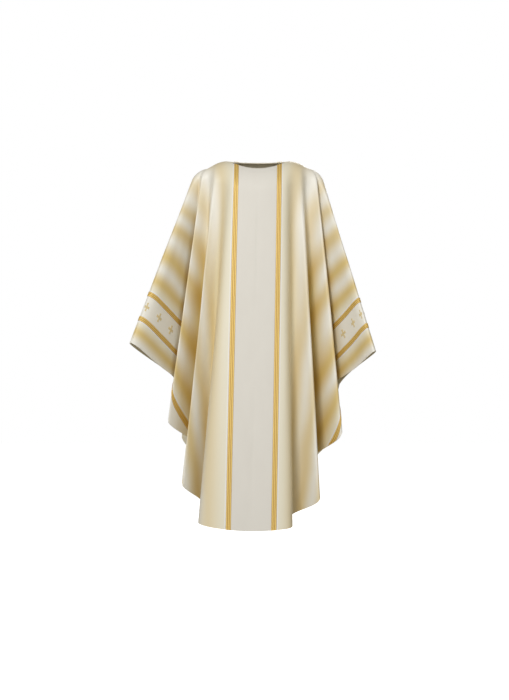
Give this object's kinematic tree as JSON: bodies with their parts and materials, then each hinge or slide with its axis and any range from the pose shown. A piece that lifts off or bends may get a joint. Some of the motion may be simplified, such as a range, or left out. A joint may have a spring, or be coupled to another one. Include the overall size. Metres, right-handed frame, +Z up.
{
  "type": "chasuble",
  "caption": "Gothic chasuble in gold-shaded cloth with a plain front column, gold braids and crosses on the sleeves, hanging in folds as worn.",
  "frame": {"origin": "centre of the neck opening at the level of the shoulder tops", "axes": "+Z up, front facing -Y, +X towards the wearer's left"},
  "size_m": [0.8263, 0.5133, 1.2587],
  "materials": {
    "shaded_cloth": "soft satin weave, shaded from white to pale gold",
    "column_cloth": "matt cream rep weave",
    "gold_braid": "ribbed metallic-thread braid",
    "cross_cloth": "satin-stitched gold thread",
    "facing_cloth": "plain lining weave"
  },
  "bodies": {
    "root": {"back_centre_panel": "column_cloth", "back_hem_facing": "facing_cloth", "back_left_crosses": "cross_cloth", "back_left_galloon": "gold_braid", "back_left_panel": "shaded_cloth", "back_neck_facing": "facing_cloth", "back_right_crosses": "cross_cloth", "back_right_galloon": "gold_braid", "back_right_panel": "shaded_cloth", "front_centre_panel": "column_cloth", "front_hem_facing": "facing_cloth", "front_left_crosses": "cross_cloth", "front_left_galloon": "gold_braid", "front_left_panel": "shaded_cloth", "front_neck_facing": "facing_cloth", "front_right_crosses": "cross_cloth", "front_right_galloon": "gold_braid", "front_right_panel": "shaded_cloth", "left_seam_tape": "facing_cloth", "left_sleeve_inner_galloon": "gold_braid", "left_sleeve_outer_galloon": "gold_braid", "right_seam_tape": "facing_cloth", "right_sleeve_inner_galloon": "gold_braid", "right_sleeve_outer_galloon": "gold_braid"}
  },
  "joints": []
}
